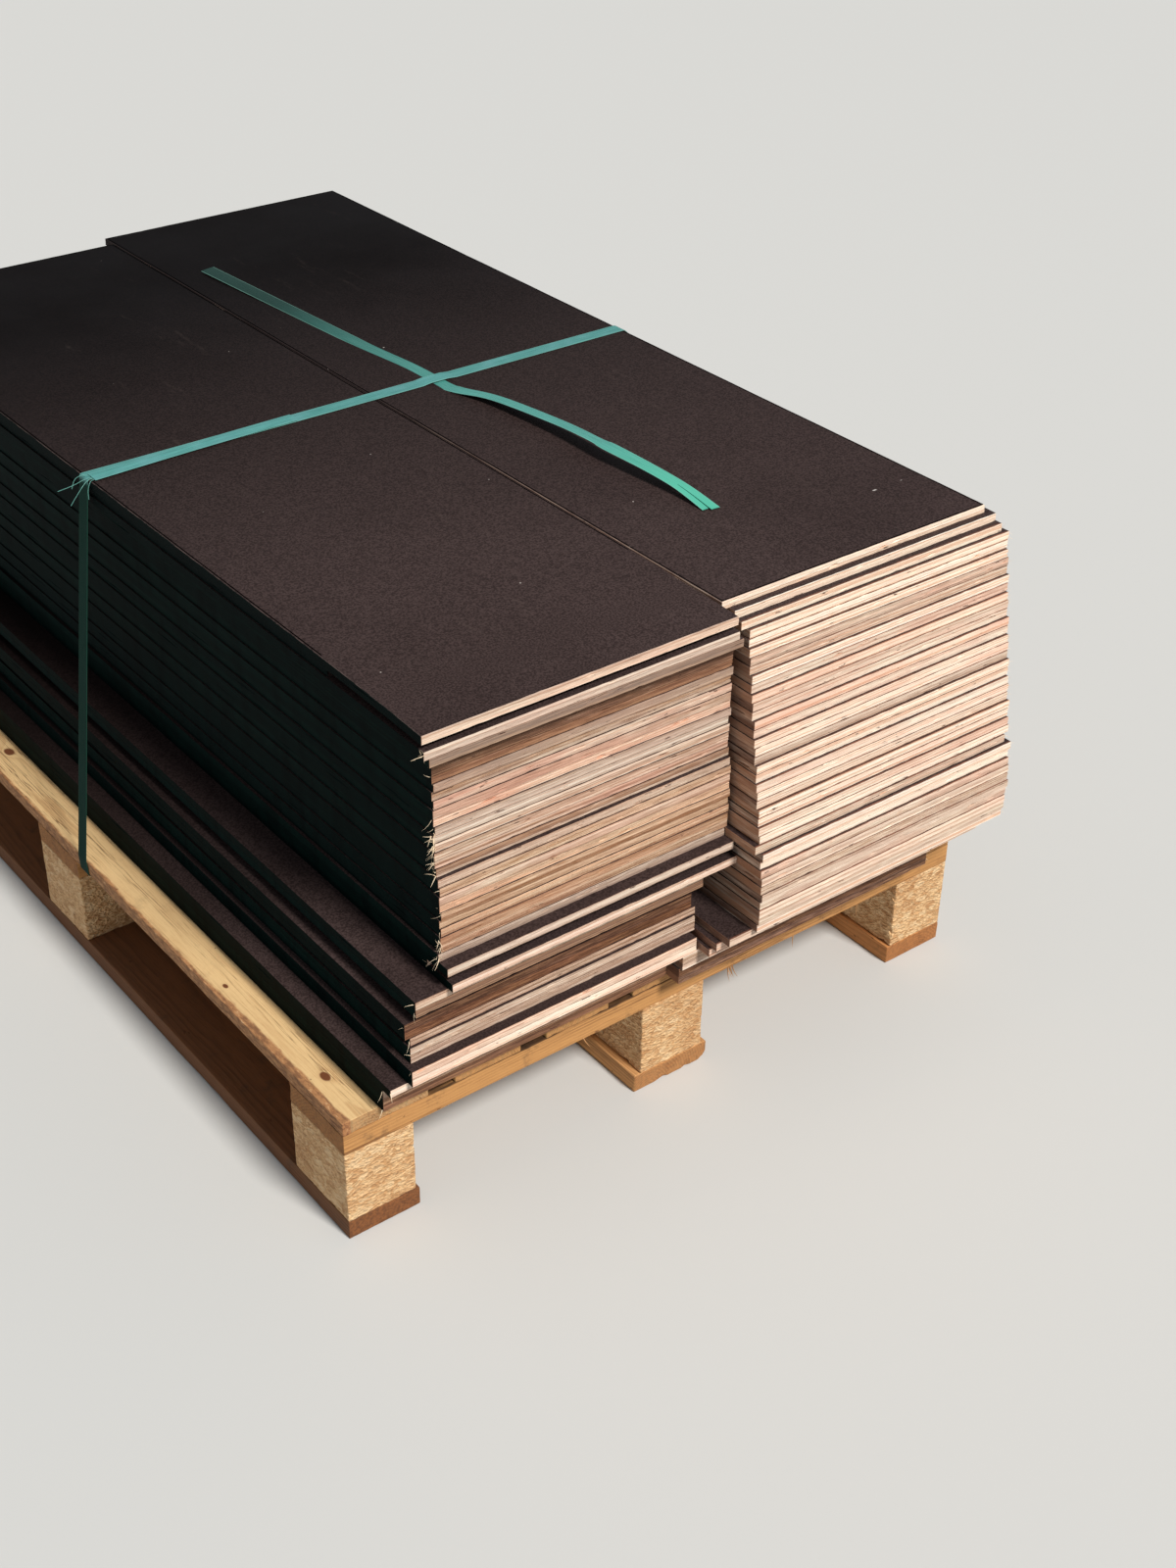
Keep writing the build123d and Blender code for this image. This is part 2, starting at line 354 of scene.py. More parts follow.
def timber(node, finish, along, seed, step=0.012, arris=0.0012, chips=0.003, rough=0.0009, cross=0.006):
    """A sawn piece in the place of its CAD node, its grain along X, along Y or in no direction."""
    low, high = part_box(node)
    middle = (low + high) / 2
    stretched = [0.12 if name == along else 1.0 for name in "XYZ"]
    steps = [step if name == along else cross for name in "XYZ"]
    points, faces = lattice([stops(a, b, c) for a, b, c in zip(low, high, steps)])
    spot = np.array(points) - np.array(middle)
    if along == "X":
        spot = spot[:, [1, 0, 2]]
    end_skin = 0.0003
    ends = (np.abs(spot[:, 1]) > np.abs(spot[:, 1]).max() - end_skin).astype(float)
    pith_aside = 0.6 * math.sin(seed * 1.7) * np.abs(spot[:, 0]).max()
    pith_under = 0.030 + 0.016 * math.cos(seed * 2.3)
    spot += (pith_aside, seed * 0.37, pith_under)
    piece = grow(
        node + "_sawn", points, faces, sawn,
        {
            "Middle": middle, "Half size": (high - low) / 2, "Grain": stretched,
            "Arris": arris, "Chips": chips, "Roughness": rough, "Seed": float(seed), "Finish": finish,
        },
        {"log": ("FLOAT_VECTOR", spot), "end": ("FLOAT", ends)},
    )
    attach(piece, "root")
    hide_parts(node)


def bark_strip(colour, place, edge):
    """A ragged strip of bark along the board's left edge, narrowing to the back."""
    ragged = centred(noise(stretch(place, 1.0, 0.35, 1.0), 40.0, 4.0, 0.65))
    wavy = calc("MULTIPLY_ADD", ragged, 0.013, split(place)["X"])
    width = ramp(split(place)["Y"], -0.60, -0.15, 0.010, 0.0035)
    inside = ramp(calc("SUBTRACT", wavy, width), edge + 0.001, edge - 0.002)
    flakes = noise(stretch(place, 1.0, 0.3, 1.0), 260.0, 4.0, 0.7)
    bark = tint(ramp(flakes, 0.38, 0.60), srgb(112, 66, 42), srgb(172, 118, 76))
    bark = tint(ramp(flakes, 0.62, 0.70), bark, srgb(216, 178, 134))
    return tint(times(inside, 0.85), colour, bark)


def pine(name, light, dark, knots=(), dirt=0.3, rings=0.0032, bark=None, lines=0.35, shade_above=None):
    """Rough softwood with growth rings round its pith, knots, saw marks and grime, and painted shade above a
    given height.
    """
    material, tree, shader, place = new_material(name)
    log = attribute(tree, "log", "Vector")
    slow = stretch(log, 1.0, 0.16, 1.0)
    sway = centred(noise(slow, 14.0, 2.0, 0.5))
    ripple = centred(noise(slow, 70.0, 3.0, 0.6))
    radius = vector("LENGTH", stretch(log, 1.0, 0.0, 1.0))
    radius = calc("MULTIPLY_ADD", sway, 0.014, radius)
    radius = calc("MULTIPLY_ADD", ripple, 0.0028, radius)
    clear = 1.0
    for x, y, z, size in knots:
        gap = stretch(vector("SUBTRACT", place, (x, y, z)), 1.0, 0.62, 1.0)
        away = calc("DIVIDE", vector("LENGTH", gap), size)
        pull = calc("DIVIDE", size * 1.1, calc("MULTIPLY_ADD", away, away, 0.6))
        radius = calc("ADD", radius, pull)
        clear = times(clear, ramp(calc("MULTIPLY_ADD", ripple, 0.8, away), 0.7, 1.05))
    year = calc("FRACT", calc("DIVIDE", radius, rings))
    late = times(ramp(year, 0.25, 0.86), ramp(year, 1.0, 0.90))
    fibres = stretch(log, 1.0, 0.035, 1.0)
    streak = noise(fibres, 900.0, 3.0, 0.65)
    broad = noise(fibres, 60.0, 3.0, 0.6)
    colour = tint(times(late, ramp(broad, 0.3, 0.7, 0.12, 0.6)), light, dark)
    colour = tint(ramp(streak, 0.46, 0.80, 0.0, 0.55), colour, dark)
    colour = tint(ramp(broad, 0.55, 0.80, 0.0, dirt), colour, srgb(110, 72, 42))
    hair = calc("ABSOLUTE", centred(noise(stretch(log, 1.0, 0.02, 1.0), 330.0, 2.0, 0.5)))
    hair = times(ramp(hair, 0.035, 0.008), ramp(broad, 0.40, 0.60))
    colour = tint(times(hair, lines), colour, srgb(104, 68, 38))
    speck = noise(stretch(log, 1.0, 0.45, 1.0), 150.0, 1.0)
    colour = tint(ramp(speck, 0.765, 0.79, 0.0, 0.75), colour, srgb(84, 52, 30))
    if knots:
        colour = tint(clear, srgb(112, 64, 36), colour)
    grime = noise(place, 30.0, 5.0, 0.72)
    colour = tint(ramp(grime, 0.54, 0.72, 0.0, dirt), colour, srgb(78, 60, 46))
    end_grain = noise(place, 260.0, 3.0, 0.6)
    end_colour = tint(ramp(end_grain, 0.35, 0.7), srgb(150, 92, 48), srgb(86, 50, 28))
    end_colour = tint(0.45, end_colour, colour)
    colour = tint(ramp(attribute(tree, "end"), 0.6, 0.95), colour, end_colour)
    # painted shade: above the given height the wood is darkened nearly black, as the shade along the
    # stringer's top under the deck boards
    if shade_above is not None:
        level = calc("MULTIPLY_ADD", ripple, 0.006, split(place)["Z"])
        shaded = ramp(level, shade_above - 0.0012, shade_above + 0.0004, 0.0, 0.9)
        colour = tint(shaded, colour, srgb(44, 26, 16))
    if bark is not None:
        colour = bark_strip(colour, place, bark)
    sawmark = noise(stretch(log, 0.2, 1.0, 0.2), 420.0, 2.0)
    height = calc("ADD", times(streak, 0.9), times(sawmark, 0.35))
    height = calc("MULTIPLY_ADD", late, 0.25, height)
    finish_look(shader, colour, 0.82, 0.3, height, 0.55, 0.0009)
    return material


runner_left_wood = pine("left runner, dark pine", srgb(124, 82, 52), srgb(76, 48, 30), dirt=0.6)
runner_middle_wood = pine("middle runner, pine", srgb(212, 160, 104), srgb(150, 94, 52), dirt=0.45)
runner_right_wood = pine("right runner, pine", srgb(204, 142, 86), srgb(138, 84, 46), dirt=0.45)
timber("runner_left", runner_left_wood, "Y", 11, chips=0.004)
timber("runner_middle", runner_middle_wood, "Y", 12, chips=0.009, arris=0.0018)
timber("runner_right", runner_right_wood, "Y", 13, chips=0.005)

# Pallet blocks.
# Nine spacers pressed from wood chips and glue, sawn square, with rough open
# faces and crumbled arrises. Nails hold them between runner and stringer.


def cells(at, scale, channel):
    """Random cells of one size: how far each point is from its cell's middle, and the cell's own tone."""
    node = add(at.id_data, "ShaderNodeTexVoronoi", {"Vector": at, "Scale": scale, "Randomness": 1.0})
    tone = add(at.id_data, "ShaderNodeSeparateColor", {0: node.outputs["Color"]}).outputs[channel]
    return node.outputs["Distance"], tone


def chipboard():
    """Pressed chips in several tones, with glue-dark patches and open pits."""
    material, tree, shader, place = new_material("pale pressed chips")
    shift = vector("ADD", place, (0.93, 0.51, 0.69))
    flat = stretch(shift, 1.0, 1.0, 1.7)
    stir = add(tree, "ShaderNodeTexNoise", {"Vector": flat, "Scale": 80.0, "Detail": 3.0}).outputs["Color"]
    warped = vector("ADD", flat, stretch(stir, 0.012, 0.012, 0.012))
    away, tone = cells(warped, 230.0, 0)
    _, large_tone = cells(warped, 95.0, 1)
    colour = tint(ramp(tone, 0.1, 0.9), srgb(228, 188, 138), srgb(200, 152, 102))
    colour = tint(ramp(large_tone, 0.70, 0.95, 0.0, 0.6), colour, srgb(238, 206, 160))
    colour = tint(ramp(large_tone, 0.22, 0.05, 0.0, 0.35), colour, srgb(170, 116, 68))
    cloud = noise(shift, 14.0, 3.0, 0.6)
    colour = tint(ramp(cloud, 0.45, 0.75, 0.0, 0.40), colour, srgb(176, 120, 68))
    pits = ramp(noise(warped, 170.0, 4.0, 0.7), 0.61, 0.70)
    # the open pits are painted dark, as the shade inside them
    colour = tint(times(pits, 0.55), colour, srgb(112, 72, 38))
    height = calc("SUBTRACT", times(away, 20.0), times(pits, 1.5))
    finish_look(shader, colour, 0.88, height=height, strength=0.45, depth=0.0008)
    return material


pressed_chips = chipboard()
block_grid = 0.0035
# the front middle and front right blocks have crumbled the most
crumbled = {"block_front_middle": 0.012, "block_front_right": 0.010}
for number, node in enumerate(sorted(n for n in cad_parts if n.startswith("block_"))):
    timber(
        node, pressed_chips, None, 30 + number, arris=0.0016, chips=crumbled.get(node, 0.005),
        rough=0.0013, cross=block_grid,
    )

# Stringers.
# Three pine boards lie across the blocks and carry the deck. Their lower edges
# are chipped, and a few long splinters hang from the front one.
# the stringer gets painted shade along its top, under the deck boards
stringer_wood = pine(
    "stringer pine", srgb(194, 142, 86), srgb(136, 88, 48), dirt=0.55, lines=0.6, shade_above=0.132
)
for number, node in enumerate(sorted(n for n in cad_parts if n.startswith("stringer_"))):
    timber(node, stringer_wood, "X", 50 + number, chips=0.004)

# Deck boards.
# Seven pine boards run lengthwise over the stringers, with open gaps between
# them. The left one is in full view, with knots and a strip of bark at its edge.
left_deck_knots = (
    (-0.3766, -0.5327, 0.148, 0.0050), (-0.3852, -0.3562, 0.148, 0.0028), (-0.372, 0.18, 0.148, 0.006),
)
left_deck_wood = pine(
    "left deck board, knotty pine", srgb(228, 192, 138), srgb(186, 139, 90), rings=0.0036, dirt=0.18,
    bark=-0.400, knots=left_deck_knots, lines=0.75,
)
deck_wood = pine("deck pine", srgb(222, 174, 112), srgb(170, 114, 62), dirt=0.35)
for number in range(1, 8):
    timber("deck_board_%d" % number, left_deck_wood if number == 1 else deck_wood, "Y", 70 + number)

# Plywood sheets.
# Each sheet is a 9 mm strip of birch plywood, seven veneers glued crosswise and
# faced on both sides with dark brown phenolic film. The short ends are freshly
# sawn; the left long edges still carry the mill's dark green edge paint.
sheet_width = 0.350
sheet_length = 1.250
sheet_thick = 0.009
load_height = 0.148
film_inset = 0.00012
worn_rim = 0.0006
veneers = 7
# sheets are numbered from the deck up, and the materials know the left ones by the added mark
top_number = 45
left_mark = 100


def toss(value):
    """A number from 0 to 1 that is always the same for the same value or vector."""
    single = value.type == "VALUE"
    node = add(
        value.id_data, "ShaderNodeTexWhiteNoise", {"W" if single else "Vector": value},
        noise_dimensions="1D" if single else "3D",
    )
    return node.outputs["Value"]


def phenolic_film():
    """Dark brown film: smooth, a little glossy, with rubs and specks; painted shade darkens it toward the
    back, for the falloff of light and reflection.
    """
    material, tree, shader, place = new_material("dark phenolic film")
    cloud = noise(place, 3.2, 4.0, 0.6)
    mottle = noise(place, 520.0, 3.0, 0.6)
    dusty = tint(ramp(cloud, 0.3, 0.7), srgb(64, 51, 49), srgb(76, 62, 60))
    # painted shade: darker toward the back and lightest at the front, standing in for the falloff of light
    # and reflection
    shade_to_back = calc("MULTIPLY_ADD", centred(cloud), 0.4, split(place)["Y"])
    colour = tint(ramp(shade_to_back, -0.50, 0.50, 0.0, 0.98), dusty, srgb(11, 6, 5))
    lighter = tint(ramp(mottle, 0.38, 0.62), srgb(180, 178, 178), srgb(255, 255, 255))
    colour = tint(1.0, colour, lighter, "MULTIPLY")
    away, pick = cells(place, 46.0, 0)
    speck = calc("LESS_THAN", calc("MULTIPLY_ADD", mottle, 0.02, away), ramp(pick, 0.86, 1.0, 0.0, 0.060))
    colour = tint(times(speck, 0.7), colour, srgb(200, 192, 184))
    rub = noise(stretch(place, 1.0, 0.18, 1.0), 30.0, 5.0, 0.75)
    colour = tint(ramp(rub, 0.60, 0.80, 0.0, 0.14), colour, srgb(120, 104, 96))
    # pale scuffs on the top: where, and how wide
    for x, y, wide in ((0.326, -0.505, 0.006), (0.365, -0.504, 0.004), (-0.205, -0.18, 0.003)):
        gap = vector("LENGTH", stretch(vector("SUBTRACT", place, (x, y, 0)), 1.0, 2.6, 0.0))
        scuff = ramp(calc("MULTIPLY_ADD", mottle, 0.004, gap), wide, wide * 0.6)
        colour = tint(times(scuff, 0.7), colour, srgb(214, 208, 202))
    # the fanned right sheets show a brown, rubbed margin in front
    margin = times(
        ramp(attribute(tree, "wall"), 0.0, 0.9, 0.0, 0.75),
        calc("LESS_THAN", attribute(tree, "sheet"), top_number - 1.5),
        ramp(split(attribute(tree, "out", "Vector"))["Y"], -0.4, -0.9),
        ramp(rub, 0.40, 0.60, 0.35, 1.0),
    )
    colour = tint(margin, colour, srgb(156, 104, 82))
    finish_look(shader, colour, ramp(cloud, 0.3, 0.8, 0.42, 0.56), 0.04, mottle, 0.12, 0.0004)
    return material


def on_top(sheet):
    """1 on the uppermost sheets of both columns, 0 on the others."""
    return ramp(calc("MODULO", sheet, float(left_mark)), top_number - 0.6, top_number - 0.4)


def sawn_ply():
    """Cut edge of the plywood: veneers in cream and pink, glue lines, gaps, film at both faces."""
    material, tree, shader, place = new_material("sawn plywood edge")
    ply = attribute(tree, "ply")
    sheet = attribute(tree, "sheet")
    brown_and_shade, pinkness, greyness = split(attribute(tree, "look", "Vector"))
    layer = calc("MULTIPLY", ply, veneers)
    veneer = toss(combined(calc("MULTIPLY", sheet, 7.31), calc("FLOOR", layer), 0.5))
    third = toss(combined(calc("MULTIPLY", sheet, 5.13), calc("FLOOR", calc("MULTIPLY", layer, 0.43))))
    own = toss(calc("MULTIPLY", sheet, 3.17))
    apart = combined(calc("MULTIPLY", sheet, 1.3), 0.0, calc("MULTIPLY", sheet, 0.7))
    shift = vector("ADD", place, apart)
    along = stretch(shift, 1.0, 1.0, 11.0)
    broad = stretch(shift, 1.0, 1.0, 5.0)
    band = noise(along, 13.0, 4.0, 0.6)
    stripe = noise(stretch(shift, 1.0, 1.0, 26.0), 30.0, 3.0, 0.65)
    blush = noise(broad, 5.0, 3.0, 0.6)
    grain = noise(along, 110.0, 4.0, 0.7)
    fleck = noise(stretch(shift, 1.0, 1.0, 2.2), 640.0, 2.0, 0.6)
    # pale and brown wood, mixed in streaks by the sheet's brown weight, which is partly the wood's own tone
    # and partly painted shade on recessed and low sheets
    cream = tint(ramp(own, 0.15, 0.85), srgb(250, 237, 214), srgb(247, 227, 203))
    cream = tint(ramp(band, 0.38, 0.66, 0.0, 0.75), cream, srgb(243, 214, 192))
    cream = tint(ramp(veneer, 0.66, 0.90, 0.0, 0.75), cream, srgb(216, 168, 134))
    cream = tint(ramp(veneer, 0.0, 0.25, 0.7, 0.0), cream, srgb(253, 245, 230))
    brown = tint(ramp(own, 0.1, 0.9), srgb(158, 116, 82), srgb(136, 98, 70))
    brown = tint(ramp(band, 0.35, 0.65, 0.0, 0.7), brown, srgb(112, 76, 52))
    brown = tint(ramp(veneer, 0.60, 0.95, 0.0, 0.7), brown, srgb(84, 54, 38))
    brown = tint(ramp(veneer, 0.0, 0.25, 0.6, 0.0), brown, srgb(196, 156, 116))
    streaky = calc("MULTIPLY_ADD", centred(third), 0.75, brown_and_shade)
    streaky = calc("MULTIPLY_ADD", centred(stripe), 1.45, streaky)
    streaky = calc("MULTIPLY", streaky, ramp(brown_and_shade, 0.02, 0.25), clamp=True)
    colour = tint(streaky, cream, brown)
    # pink, grey and warm sheets, and the brownest sheets darkened further, partly their own tone and partly
    # painted shade
    pink = times(pinkness, ramp(blush, 0.34, 0.62))
    colour = tint(pink, colour, srgb(243, 211, 202), "MULTIPLY")
    colour = tint(times(pink, 0.2), colour, srgb(226, 182, 164))
    colour = tint(greyness, colour, tint(0.55, colour, srgb(186, 176, 166)))
    colour = tint(ramp(greyness, 0.0, -1.0), colour, srgb(255, 246, 233), "MULTIPLY")
    deep_tone_and_shade = times(ramp(brown_and_shade, 1.1, 1.5), ramp(stripe, 0.38, 0.62, 0.4, 1.7))
    colour = tint(deep_tone_and_shade, colour, srgb(150, 138, 130), "MULTIPLY")
    # grain, glue lines, and painted shade in the gaps of the inner veneers and the torn hollows
    colour = tint(ramp(grain, 0.50, 0.80, 0.0, 0.42), colour, srgb(164, 112, 80))
    colour = tint(ramp(fleck, 0.60, 0.80, 0.0, 0.45), colour, srgb(150, 100, 72))
    glue = calc("ABSOLUTE", centred(calc("FRACT", layer)))
    colour = tint(ramp(glue, 0.40, 0.5, 0.0, 0.34), colour, srgb(150, 96, 66))
    gap = noise(broad, 42.0, 3.0, 0.6)
    gap_here = times(ramp(gap, 0.67, 0.70), ramp(veneer, 0.45, 0.55))
    colour = tint(times(gap_here, 0.85), colour, srgb(70, 40, 30))
    colour = tint(ramp(attribute(tree, "hollow"), 0.3, 0.9, 0.0, 0.8), colour, srgb(74, 44, 30))
    # edges that face left, in the recess between the columns, get painted shade and some grime
    faces_left = ramp(split(attribute(tree, "out", "Vector"))["X"], -0.5, -0.9)
    side_shade_and_grime = times(faces_left, ramp(band, 0.2, 0.6, 0.35, 0.9))
    colour = tint(side_shade_and_grime, colour, tint(ramp(own, 0.2, 0.8), srgb(156, 112, 84), srgb(96, 64, 50)))
    # dark joint lines at both faces, wider and stronger in the left column
    in_left = (left_mark - 1.0, left_mark + 1.0)
    line_start = ramp(sheet, *in_left, 0.490, 0.460)
    faintest = ramp(sheet, *in_left, 0.30, 0.85)
    wander = calc("MULTIPLY_ADD", grain, 0.02, calc("ABSOLUTE", centred(ply)))
    joint = times(
        ramp(wander, line_start, 0.504),
        ramp(own, 0.15, 0.90, faintest, 1.0),
        ramp(stripe, 0.36, 0.58, 0.45, 1.0),
    )
    colour = tint(joint, colour, srgb(86, 48, 36))
    # worn rim of the top sheets, and painted shade along the seam where the right one meets the left column,
    # deeper toward the back
    worn = times(ramp(ply, 0.972, 0.980), on_top(sheet), ramp(gap, 0.36, 0.60, 0.25, 0.8))
    colour = tint(worn, colour, srgb(204, 178, 160))
    seam_shade = times(
        ramp(sheet, top_number - 0.6, top_number - 0.4), ramp(sheet, left_mark - 1.0, left_mark - 2.0),
        faces_left, ramp(split(place)["Y"], -0.50, 0.05, 0.20, 1.0),
    )
    colour = tint(seam_shade, colour, srgb(44, 34, 33))
    height = calc("SUBTRACT", calc("ADD", grain, times(fleck, 0.5)), times(gap_here, 2.0))
    finish_look(shader, colour, 0.85, 0.25, height, 0.5, 0.0006)
    return material


def edge_paint():
    """Mill's dark green edge sealer, brushed on thickly over the stacked edges."""
    material, tree, shader, place = new_material("dark green edge paint")
    ply = attribute(tree, "ply")
    sheet = attribute(tree, "sheet")
    run = noise(stretch(place, 1.0, 1.0, 0.25), 60.0, 4.0, 0.65)
    colour = tint(ramp(toss(sheet), 0.1, 0.9), srgb(4, 18, 17), srgb(6, 26, 23))
    colour = tint(ramp(run, 0.4, 0.72, 0.0, 0.7), colour, srgb(2, 8, 8))
    streak = noise(stretch(place, 1.0, 0.03, 4.0), 110.0, 3.0, 0.6)
    colour = tint(ramp(streak, 0.58, 0.76, 0.0, 0.25), colour, srgb(28, 54, 48))
    face = calc("ABSOLUTE", centred(ply))
    colour = tint(ramp(face, 0.486, 0.496, 0.0, 0.3), colour, srgb(3, 6, 6))
    worn = times(ramp(ply, 0.972, 0.980), on_top(sheet), ramp(run, 0.40, 0.62, 0.1, 0.6))
    colour = tint(worn, colour, srgb(128, 110, 104))
    finish_look(shader, colour, 0.62, 0.02, run, 0.25, 0.0006)
    return material


film = phenolic_film()
ply_edge = sawn_ply()
green_paint = edge_paint()


def walls(rows, n, looped=False):
    """Faces between rows of n points, where each row is a closed ring."""
    faces = []
    for row in range(rows if looped else rows - 1):
        after = (row + 1) % rows
        for a in range(n):
            b = (a + 1) % n
            faces.append((row * n + a, row * n + b, after * n + b, after * n + a))
    return faces


def sheet_blank(name, full_faces=False):
    """One sheet: a wall of rings round its edge, closed by its two film faces."""
    gap = 0.00004
    face_inset = 0.0030
    near = [0.0, 0.0016, 0.0045]
    beyond = [0.010, 0.018, 0.030, 0.046]
    step_across, step_along = 0.006, 0.0236
    xs = [*near, *np.arange(0.010, sheet_width - 0.009, step_across), *(sheet_width - np.array(near[::-1]))]
    ys = [*near, *beyond, *np.arange(0.066, sheet_length - 0.05, step_along)]
    ys += [*(sheet_length - np.array([*beyond[::-1], *near[::-1]]))]
    nx, ny = len(xs) - 1, len(ys) - 1
    round_trip = [(i, 0) for i in range(nx)] + [(nx, j) for j in range(ny)]
    round_trip += [(i, ny) for i in range(nx, 0, -1)] + [(0, j) for j in range(ny, 0, -1)]
    # rings from the lower face to the upper one: inset, height, share of the thickness
    rim = worn_rim if full_faces else film_inset
    levels = [(face_inset, gap, 0.0), (film_inset, gap, 0.0), (0.0, gap + film_inset, 0.015)]
    for i in range(1, 2 * veneers):
        if i % 2 == 0 or i in (1, 2 * veneers - 1):
            share = i / (2 * veneers)
            levels.append((0.0, share * sheet_thick, share))
    levels.append((0.0, sheet_thick - gap - rim, 0.960 if full_faces else 0.985))
    levels += [(rim, sheet_thick - gap, 1.0), (face_inset, sheet_thick - gap, 1.0)]
    points, out, wall, ply = [], [], [], []
    for inset, z, share in levels:
        for i, j in round_trip:
            x = inset + xs[i] * (sheet_width - 2 * inset) / sheet_width
            y = inset + ys[j] * (sheet_length - 2 * inset) / sheet_length
            points.append((x, y, z))
            out.append(((i == nx) - (i == 0), (j == ny) - (j == 0), 0))
            wall.append(0.0 if inset == face_inset else 1.0)
            ply.append(share)
    n = len(round_trip)
    faces = walls(len(levels), n)
    last = (len(levels) - 1) * n
    if full_faces:
        for base, z, up in ((0, gap, False), (last, sheet_thick - gap, True)):
            at = {ij: base + a for a, ij in enumerate(round_trip)}
            for i in range(1, nx):
                for j in range(1, ny):
                    at[(i, j)] = len(points)
                    points.append((xs[i], ys[j], z))
                    out.append((0, 0, 0))
                    wall.append(0.0)
                    ply.append(1.0 if up else 0.0)
            for i in range(nx):
                for j in range(ny):
                    square = [at[(i, j)], at[(i + 1, j)], at[(i + 1, j + 1)], at[(i, j + 1)]]
                    faces.append(square if up else square[::-1])
    else:
        faces.append(list(range(n))[::-1])
        faces.append(list(range(last, last + n)))
    blank = mesh_object(name, points, faces)
    store(blank.data, "out", "FLOAT_VECTOR", out)
    store(blank.data, "wall", "FLOAT", wall)
    store(blank.data, "ply", "FLOAT", ply)
    return blank


def stored(tree, name, kind="FLOAT"):
    """A value that the mesh carries, read in a geometry tree."""
    return add(tree, "GeometryNodeInputNamedAttribute", {"Name": name}, data_type=kind).outputs["Attribute"]


def copied(points, thing, **inputs):
    """Copies of one object on the points, made real."""
    tree = points.id_data
    source = add(tree, "GeometryNodeObjectInfo", {"Object": thing}).outputs["Geometry"]
    inputs = {"Points": points, "Instance": source, **inputs}
    copies = add(tree, "GeometryNodeInstanceOnPoints", inputs).outputs[0]
    return add(tree, "GeometryNodeRealizeInstances", {0: copies}).outputs[0]


# the stacking tree: one blank on each corner point, then every edge worn in its own way
stacking, given, end = geometry_tree(
    "stack of sheets",
    {
        "Sheet": "Object", "Wander": "Float", "Veneer relief": "Float", "Gap depth": "Float",
        "Chip depth": "Float", "Droop": "Float", "Droop start": "Float", "Film": "Material",
        "Sawn edge": "Material", "Edge paint": "Material",
    },
)
sheets = copied(given["Geometry"], given["Sheet"], Scale=stored(stacking, "size", "FLOAT_VECTOR"))
here = add(stacking, "GeometryNodeInputPosition").outputs[0]
out_way = stored(stacking, "out", "FLOAT_VECTOR")
on_wall = stored(stacking, "wall")
own = calc("MULTIPLY", stored(stacking, "sheet"), 0.83)
own_place = vector("ADD", here, combined(own, own))
wandering = centred(noise(stretch(own_place, 1.0, 1.0, 0.0), 7.0, 3.0, 0.55))
relief = calc("SUBTRACT", noise(stretch(own_place, 1.0, 1.0, 9.0), 75.0, 2.0, 0.6), 0.42)
relief = calc("MAXIMUM", relief, 0.0)
from_core = calc("ABSOLUTE", centred(stored(stacking, "ply")))
gaps = ramp(noise(stretch(own_place, 1.0, 1.0, 5.0), 70.0, 1.0, 0.5), 0.70, 0.76)
gaps = times(gaps, ramp(from_core, 0.44, 0.36))
chips = ramp(noise(own_place, 62.0, 3.0, 0.7), 0.60, 0.72)
chips = times(chips, ramp(from_core, 0.34, 0.46))
inward = calc("MULTIPLY", wandering, given["Wander"])
inward = calc("MULTIPLY_ADD", relief, given["Veneer relief"], inward)
inward = calc("MULTIPLY_ADD", gaps, given["Gap depth"], inward)
inward = calc("MULTIPLY_ADD", chips, given["Chip depth"], inward)
sealed = times(calc("LESS_THAN", split(out_way)["X"], -0.9), stored(stacking, "painted"))
outward = times(inward, calc("MULTIPLY_ADD", sealed, -0.8, 1.0), on_wall, -1.0)
push = vector("MULTIPLY", out_way, combined(outward, outward, outward))
past = calc("MAXIMUM", calc("SUBTRACT", given["Droop start"], split(here)["Y"]), 0.0)
sag = times(times(past, past), times(given["Droop"], -1.0))
push = vector("ADD", push, combined(0.0, 0.0, sag))
moved = add(stacking, "GeometryNodeSetPosition", {"Geometry": sheets, "Offset": push}).outputs[0]
marked = add(
    stacking, "GeometryNodeStoreNamedAttribute", {"Geometry": moved, "Name": "hollow", "Value": gaps},
    data_type="FLOAT", domain="POINT",
).outputs[0]
is_edge = calc("GREATER_THAN", on_wall, 0.6)
is_painted = calc("GREATER_THAN", times(sealed, on_wall), 0.6)
filmed = coated(marked, given["Film"])
edged = coated(filmed, given["Sawn edge"], is_edge)
fill(end, {"Geometry": coated(edged, given["Edge paint"], is_painted)})

plain_blank = sheet_blank("sheet blank")
full_blank = sheet_blank("top sheet blank", full_faces=True)
# how the sheets differ: the weight of the brown look, then the sheets that have it; the weight is partly the
# veneers' own tone and partly painted shade, heavy on recessed and low sheets and light on the top ones
left_tones = {
    0.12: (4, 5, 16), 0.24: (6, 43), 0.36: (7, 15, 17, 25, 27, 45),
    0.44: (14, 19, 21, 22, 24, 30, 31, 34, 36), 0.60: (3, 8, 23, 26, 29, 32, 37),
    0.80: (9, 18, 20, 28, 33, 35, 38), 1.0: (2, 12), 1.22: (13, 41, 42), 1.28: (1, 39, 40), 1.40: (10, 11),
}
right_tones = {
    0.0: (41, 42, 43, 44, 45), 0.18: (6, 8, 10, 14, 31, 34), 0.30: (5, 7, 9, 15, 17),
    0.36: (11, 12, 13, 18, 28, 38), 0.52: (3, 4, 39), 1.36: (1, 2),
}
left_pink = (34, 35, 36, 29)
left_grey = (17, 18, 32, 33, 38, 42, 43)
left_warm = (10, 19, 20, 21, 22, 23, 24, 26)
right_pink = (31, 32, 33, 34, 35, 36)
right_lightest_from = 40


